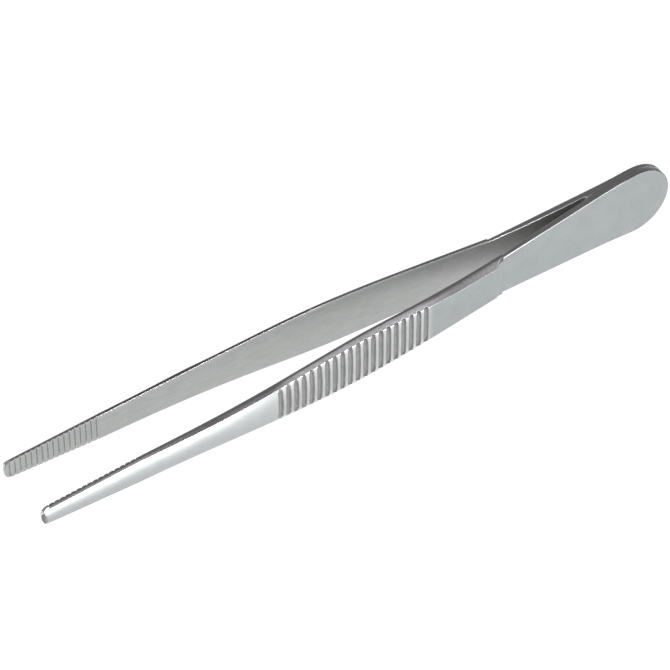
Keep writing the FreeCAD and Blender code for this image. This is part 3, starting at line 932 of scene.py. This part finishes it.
        # The skin's faces join neighbouring sections, and the cap's faces close the tip.
        columns = ring.shape[1]
        row, column = np.meshgrid(np.arange(rows - 1), np.arange(columns), indexing="ij")
        following = (column + 1) % columns
        near, far = row * columns, (row + 1) * columns
        skin = np.stack([near + column, far + column, far + following, near + following], -1)
        lip = np.arange(points - 1)
        mirrored = (columns - lip) % columns
        cap = np.stack([lip, lip + 1, (columns - lip - 1) % columns, mirrored], -1)
        quads = np.concatenate([skin.reshape(-1, 4), cap])
        places, faces, kept = weld((ring * MM).reshape(-1, 3), quads)
        mesh = bpy.data.meshes.new(self.name)
        mesh.from_pydata(places, [], faces)
        mesh.polygons.foreach_set("use_smooth", np.ones(len(mesh.polygons), bool))
        for mask, weight in weights.items():
            # The crown's painted shade belongs to the lit upper edge alone.
            under = weight[:, ::-1][:, 1:-1] * (mask is not Mask.CREST_SHADE)
            full = np.concatenate([weight, under], 1).ravel()[kept]
            mesh.attributes.new(mask.value, "FLOAT", "POINT").data.foreach_set("value", full)
        arm = add_object(self.name, mesh)
        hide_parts(self.node)
        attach(arm, BODY)
        return arm

    def even_normals(self, arm: bpy.types.Object) -> None:
        """Weigh the shading by face area, so that flat faces stay flat up to their edges.

        Args:
            arm: the finished piece.
        """
        modifier = arm.modifiers.new("even_normals", "WEIGHTED_NORMAL")
        modifier.mode = "FACE_AREA"
        modifier.weight = 50


Socket = bpy.types.NodeSocket
Color = tuple[float, float, float, float]
Value = Socket | Color | float


def add_object(name: str, data: bpy.types.ID) -> bpy.types.Object:
    """Put new data into the scene as an object at the origin.

    Args:
        name: the object's name.
        data: its mesh, light or camera.

    Returns:
        The object.
    """
    thing = bpy.data.objects.new(name, data)
    bpy.context.scene.collection.objects.link(thing)
    return thing


@dataclass(frozen=True)
class Layer:
    """A noise on the steel: size, detail, and the gain and offset with which it shades."""

    scale: float
    detail: float
    rough: float
    gain: float
    offset: float
    stretch: tuple[float, float, float] | None = None


@dataclass
class NodeBoard:
    """Small helper that wires one shader node tree."""

    tree: bpy.types.NodeTree

    @classmethod
    def fresh(cls, owner: bpy.types.Material | bpy.types.World) -> "NodeBoard":
        """Switch a material or a world to nodes, and clear its tree.

        Args:
            owner: the material or world.

        Returns:
            A board on the empty tree.
        """
        owner.use_nodes = True
        owner.node_tree.nodes.clear()
        return cls(owner.node_tree)

    def add(self, kind: str, **settings: str | bool) -> bpy.types.Node:
        """Add a node and set its plain properties.

        Args:
            kind: the node's type name.
            settings: properties of the node.

        Returns:
            The node.
        """
        node = self.tree.nodes.new(kind)
        for key, value in settings.items():
            setattr(node, key, value)
        return node

    def feed(self, source: Value, target: Socket) -> None:
        """Link an output to an input, or set the input to a plain value.

        Args:
            source: a socket or a value.
            target: the input.
        """
        if isinstance(source, Socket):
            self.tree.links.new(source, target)
        else:
            target.default_value = source

    def math(self, operation: str, *terms: Value) -> Socket:
        """One arithmetic step.

        Args:
            operation: name of the step.
            terms: its two or three sockets or numbers.

        Returns:
            The result.
        """
        node = self.add("ShaderNodeMath", operation=operation)
        for term, target in zip(terms, node.inputs):
            self.feed(term, target)
        return node.outputs[0]

    def attribute(self, mask: Mask) -> Socket:
        """Weight of a mask on the surface."""
        return self.add("ShaderNodeAttribute", attribute_name=mask.value).outputs["Fac"]

    def noise(self, place: Socket, layer: Layer) -> Socket:
        """Grey noise between 0 and 1 over a coordinate, stretched where the layer says so.

        Args:
            place: the coordinate.
            layer: size and detail of the noise.

        Returns:
            The noise.
        """
        if layer.stretch is not None:
            mapping = self.add("ShaderNodeMapping")
            self.feed(place, mapping.inputs["Vector"])
            mapping.inputs["Scale"].default_value = layer.stretch
            place = mapping.outputs["Vector"]
        node = self.add("ShaderNodeTexNoise")
        self.feed(place, node.inputs["Vector"])
        node.inputs["Scale"].default_value = layer.scale
        node.inputs["Detail"].default_value = layer.detail
        node.inputs["Roughness"].default_value = layer.rough
        return node.outputs["Fac"]

    def blend(self, share: Value, first: Value, second: Value) -> Socket:
        """Mix two colours.

        Args:
            share: 0 for the first colour, 1 for the second.
            first: a colour.
            second: another colour.

        Returns:
            The mixed colour.
        """
        node = self.add("ShaderNodeMix", data_type="RGBA")
        self.feed(share, node.inputs["Factor"])
        for color, place in zip((first, second), COLOR_SOCKETS):
            self.feed(color, node.inputs[place])
        return node.outputs[COLOR_RESULT]

    def slide(self, share: Value, first: Value, second: Value) -> Socket:
        """Mix two numbers.

        Args:
            share: 0 for the first number, 1 for the second.
            first: a number.
            second: another number.

        Returns:
            The mixed number.
        """
        node = self.add("ShaderNodeMix", data_type="FLOAT")
        self.feed(share, node.inputs["Factor"])
        for number, place in zip((first, second), NUMBER_SOCKETS):
            self.feed(number, node.inputs[place])
        return node.outputs[NUMBER_RESULT]

    def tint(self, color: Value, shade: Socket) -> Socket:
        """Multiply a colour by a grey shade.

        Args:
            color: the colour.
            shade: the grey, which may be above 1.

        Returns:
            The shaded colour.
        """
        tone = self.add("ShaderNodeMix", data_type="RGBA", blend_type="MULTIPLY")
        tone.inputs["Factor"].default_value = 1.0
        grey = self.add("ShaderNodeCombineColor")
        for channel in grey.inputs[:3]:
            self.feed(shade, channel)
        for source, place in zip((color, grey.outputs[0]), COLOR_SOCKETS):
            self.feed(source, tone.inputs[place])
        return tone.outputs[COLOR_RESULT]

    def mix_shaders(self, share: Socket, first: bpy.types.Node, second: bpy.types.Node) -> Socket:
        """Mix the first outputs of two shader nodes.

        Args:
            share: 0 for the first shader, 1 for the second.
            first: a shader node.
            second: another shader node.

        Returns:
            The mixed shader.
        """
        mix = self.add("ShaderNodeMixShader")
        for source, target in zip((share, first.outputs[0], second.outputs[0]), mix.inputs):
            self.feed(source, target)
        return mix.outputs[0]

    def finish(self, kind: str, surface: Socket) -> None:
        """Send a shader to the output node.

        Args:
            kind: type name of the output node.
            surface: the shader.
        """
        self.feed(surface, self.add(kind).inputs["Surface"])


@dataclass(frozen=True)
class SurfaceLook:
    """Colour and roughness of one kind of worked steel surface."""

    color: Color
    roughness: float


@dataclass(frozen=True)
class SteelFinish:
    """Stainless steel, with a look of its own for each way that the arm was worked, and dark and
    pale looks for painted shade and painted highlights.
    """

    name: str = "forceps_steel"
    satin: SurfaceLook = SurfaceLook((0.343, 0.364, 0.369, 1), 0.3)
    inner: SurfaceLook = SurfaceLook((0.46, 0.47, 0.462, 1), 0.34)
    slot: SurfaceLook = SurfaceLook((0.58, 0.582, 0.576, 1), 0.5)
    strip: SurfaceLook = SurfaceLook((0.4, 0.4, 0.4, 1), 0.34)
    # Painted shade: near-black steel that dims highlights and stands in for shadow.
    honed: SurfaceLook = SurfaceLook((0.052, 0.051, 0.052, 1), 0.62)
    bevel: SurfaceLook = SurfaceLook((0.349, 0.341, 0.355, 1), 0.5)
    # The grooves' matte finish, darkened further as painted recess shade.
    groove: SurfaceLook = SurfaceLook((0.235, 0.233, 0.23, 1), 0.4)
    polish: SurfaceLook = SurfaceLook((0.42, 0.438, 0.442, 1), 0.36)
    # Painted highlight: near-white steel for the glints on rims, lips, notch ends, ridge ends and
    # the tip's corners.
    rim: SurfaceLook = SurfaceLook((0.8, 0.8, 0.8, 1), 0.3)
    grain: Layer = Layer(4200.0, 3.0, 0.6, 0.3, 0.85)
    cloud: Layer = Layer(320.0, 3.0, 0.55, 0.12, 0.94)
    tool_lines: Layer = Layer(900.0, 2.0, 0.6, 1.1, 0.45, (9.0, 9.0, 0.7))
    brush: Layer = Layer(700.0, 3.0, 0.6, 0.36, 0.82, (0.5, 4.0, 4.0))
    pits: Layer = Layer(2600.0, 2.0, 0.7, 0.8, 0.6)
    rough_gain: float = 0.14
    rough_offset: float = 0.93
    bump_strength: float = 0.5
    grain_depth: float = 0.000004

    def make(self) -> bpy.types.Material:
        """Build the node material.

        Returns:
            The steel, which reads the arm's masks and Object coordinates.
        """
        material = bpy.data.materials.new(self.name)
        board = NodeBoard.fresh(material)
        place = board.add("ShaderNodeTexCoord").outputs["Object"]
        grain = board.noise(place, self.grain)
        cloud = board.noise(place, self.cloud)
        color, rough = self.worked(board)
        uneven = board.math("MULTIPLY_ADD", cloud, self.rough_gain, self.rough_offset)
        bump = board.add("ShaderNodeBump")
        bump.inputs["Strength"].default_value = self.bump_strength
        bump.inputs["Distance"].default_value = self.grain_depth
        board.feed(grain, bump.inputs["Height"])
        shader = board.add("ShaderNodeBsdfPrincipled")
        shader.inputs["Metallic"].default_value = 1.0
        shade = self.shade(board, place, grain, cloud)
        board.feed(board.tint(color, shade), shader.inputs["Base Color"])
        board.feed(board.math("MULTIPLY", rough, uneven), shader.inputs["Roughness"])
        board.feed(bump.outputs["Normal"], shader.inputs["Normal"])
        board.finish("ShaderNodeOutputMaterial", shader.outputs[0])
        return material

    def worked(self, board: NodeBoard) -> tuple[Value, Value]:
        """Lay the looks of the worked surfaces, of the painted shade and of the painted highlights
        over the satin, each by its own mask.

        Args:
            board: the steel's node board.

        Returns:
            Colour and roughness.
        """
        color: Value = self.satin.color
        rough: Value = self.satin.roughness
        looks = ((Mask.INNER, self.inner), (Mask.SLOT, self.slot), (Mask.POLISH, self.polish),
                 (Mask.STRIP, self.strip), (Mask.BEVEL, self.bevel), (Mask.GROOVE, self.groove),
                 (Mask.RIM, self.rim), (Mask.HONED, self.honed), (Mask.CREST_SHADE, self.honed))
        for mask, look in looks:
            share = board.attribute(mask)
            color = board.blend(share, color, look.color)
            rough = board.slide(share, rough, look.roughness)
        return color, rough

    def shade(self, board: NodeBoard, place: Socket, grain: Socket, cloud: Socket) -> Socket:
        """Grey shade of the steel: grain and clouds everywhere, and one more layer on each of
        three surfaces, as tool lines in the grooves, brush marks inside and pits on the bevel.

        Args:
            board: the steel's node board.
            place: Object coordinates.
            grain: the fine noise.
            cloud: the broad noise.

        Returns:
            The shade, about 1 on average.
        """
        shade = board.math("MULTIPLY_ADD", grain, self.grain.gain, self.grain.offset)
        clouds = board.math("MULTIPLY_ADD", cloud, self.cloud.gain, self.cloud.offset)
        shade = board.math("MULTIPLY", shade, clouds)
        layers = ((Mask.GROOVE, self.tool_lines), (Mask.INNER, self.brush), (Mask.BEVEL, self.pits))
        for mask, layer in layers:
            marks = board.math("MULTIPLY_ADD", board.noise(place, layer), layer.gain, layer.offset)
            shade = board.math("MULTIPLY", shade, board.slide(board.attribute(mask), 1.0, marks))
        return shade


@dataclass(frozen=True)
class WhiteTable:
    """Plain pale floor that reads white to the camera and in the steel, and keeps the shadow."""

    half_size: float = 3.0
    color: Color = (0.9, 0.9, 0.9, 1)
    camera_white: float = 0.92
    glossy_white: float = 0.86
    camera_glow: float = 1.05

    def build(self) -> bpy.types.Object:
        """Lay the floor at the height that the forceps rest on.

        Returns:
            The floor.
        """
        corners = np.array([[-1, -1, 0], [1, -1, 0], [1, 1, 0], [-1, 1, 0]]) * self.half_size
        mesh = bpy.data.meshes.new("table")
        mesh.from_pydata(corners, [], [(0, 1, 2, 3)])
        table = add_object("table", mesh)
        mesh.materials.append(self.finish())
        return table

    def finish(self) -> bpy.types.Material:
        """White to the camera and to reflections, plain diffuse to all other light.

        Returns:
            The material.
        """
        material = bpy.data.materials.new("white_table")
        board = NodeBoard.fresh(material)
        diffuse = board.add("ShaderNodeBsdfDiffuse")
        diffuse.inputs["Color"].default_value = self.color
        white = board.add("ShaderNodeEmission")
        path = board.add("ShaderNodeLightPath")
        glow = board.slide(path.outputs["Is Camera Ray"], 1.0, self.camera_glow)
        board.feed(glow, white.inputs["Strength"])
        seen = board.math("MULTIPLY", path.outputs["Is Camera Ray"], self.camera_white)
        mirrored = board.math("MULTIPLY", path.outputs["Is Glossy Ray"], self.glossy_white)
        through = board.math("MULTIPLY", path.outputs["Is Transmission Ray"], self.glossy_white)
        share = board.math("MAXIMUM", seen, board.math("MAXIMUM", mirrored, through))
        board.finish("ShaderNodeOutputMaterial", board.mix_shaders(share, diffuse, white))
        return material


@dataclass(frozen=True)
class SoftBox:
    """One soft studio light: a rectangle that faces the forceps."""

    name: str
    place: tuple[float, float, float]
    width: float
    height: float
    power: float
    target: tuple[float, float, float] = (0.0, 0.0, 0.0)

    def build(self) -> bpy.types.Object:
        """Hang the light and turn it to its target.

        Returns:
            The light.
        """
        data = bpy.data.lights.new(self.name, "AREA")
        data.shape = "RECTANGLE"
        data.size = self.width
        data.size_y = self.height
        data.energy = self.power
        lamp = add_object(self.name, data)
        lamp.location = self.place
        aim = Vector(self.target) - Vector(self.place)
        lamp.rotation_euler = aim.to_track_quat("-Z", "Y").to_euler()
        lamp.visible_camera = False
        return lamp


@dataclass(frozen=True)
class Studio:
    """World and lamps of a plain product shot."""

    world_light: float = 0.24
    camera_light: float = 1.0
    color: Color = (1, 1, 1, 1)
    boxes: tuple[SoftBox, ...] = (
        SoftBox("front_box", (0.2, -0.42, 0.024), 0.9, 0.048, 12.0),
        SoftBox("left_box", (-0.6, -0.2, 0.5), 0.5, 0.5, 2.5),
        SoftBox("top_box", (-0.25, -0.25, 0.9), 0.8, 0.8, 4.0),
    )

    def build(self) -> None:
        """Set the world, dim to the steel and white to the camera, and hang the lamps."""
        world = bpy.data.worlds.new("studio")
        bpy.context.scene.world = world
        board = NodeBoard.fresh(world)
        shells = []
        for strength in (self.world_light, self.camera_light):
            shell = board.add("ShaderNodeBackground")
            shell.inputs["Color"].default_value = self.color
            shell.inputs["Strength"].default_value = strength
            shells.append(shell)
        seen = board.add("ShaderNodeLightPath").outputs["Is Camera Ray"]
        board.finish("ShaderNodeOutputWorld", board.mix_shaders(seen, *shells))
        for box in self.boxes:
            box.build()


@dataclass(frozen=True)
class ProductCamera:
    """Long lens, above and in front of the forceps, towards their jaw end."""

    azimuth: float = -33.78
    elevation: float = 46.56
    roll: float = 0.12
    distance: float = 0.7
    focal_pixels: float = 4135.6
    image_pixels: float = 670.0
    sensor: float = 36.0
    nearest: float = 0.01
    look_at: tuple[float, float, float] = (-0.000075, 0.0, 0.00697)
    look_at_pixel: tuple[float, float] = (354.66, 333.67)

    def build(self) -> bpy.types.Object:
        """Place the camera so that look_at lands on look_at_pixel.

        The camera stands at its distance behind look_at, seen along the given angles, and
        then turns a little so that no lens shift is needed.

        Returns:
            The camera.
        """
        azimuth = math.radians(self.azimuth)
        elevation = math.radians(self.elevation)
        roll = math.radians(self.roll)
        ahead = Vector((-math.sin(azimuth) * math.cos(elevation),
                        math.cos(azimuth) * math.cos(elevation), -math.sin(elevation)))
        level = Vector((math.cos(azimuth), math.sin(azimuth), 0.0))
        raised = level.cross(ahead)
        right = level * math.cos(roll) + raised * math.sin(roll)
        up = raised * math.cos(roll) - level * math.sin(roll)
        half = self.image_pixels / 2
        across = (half - self.look_at_pixel[0]) / self.focal_pixels
        above = (self.look_at_pixel[1] - half) / self.focal_pixels
        axis = (ahead + right * across + up * above).normalized()
        right = (right - axis * right.dot(axis)).normalized()
        up = right.cross(axis)
        place = Vector(self.look_at) - ahead * self.distance
        data = bpy.data.cameras.new("product_camera")
        data.sensor_width = self.sensor
        data.lens = self.focal_pixels / self.image_pixels * self.sensor
        data.clip_start = self.nearest
        camera = add_object("product_camera", data)
        turn = Matrix((right, up, -axis)).transposed().to_4x4()
        camera.matrix_world = Matrix.Translation(place) @ turn
        bpy.context.scene.camera = camera
        return camera


def main() -> None:
    """Build the forceps, their finish, the studio and the camera."""
    logging.basicConfig(level=logging.INFO, format="%(name)s: %(message)s")
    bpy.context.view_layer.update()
    bpy.context.scene.view_settings.view_transform = "Standard"
    steel = SteelFinish().make()
    arms = (Arm("front_arm_skin", "front_arm", Side.FRONT),
            Arm("rear_arm_skin", "rear_arm", Side.REAR))
    for arm in arms:
        piece = arm.build()
        piece.data.materials.append(steel)
        arm.even_normals(piece)
        log.info("%s: %d faces", piece.name, len(piece.data.polygons))
    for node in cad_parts.values():
        node.data.materials.clear()
        node.data.materials.append(steel)
        log.info("dressed node %s", node.name)
    WhiteTable().build()
    Studio().build()
    ProductCamera().build()


if __name__ == "__main__":
    main()
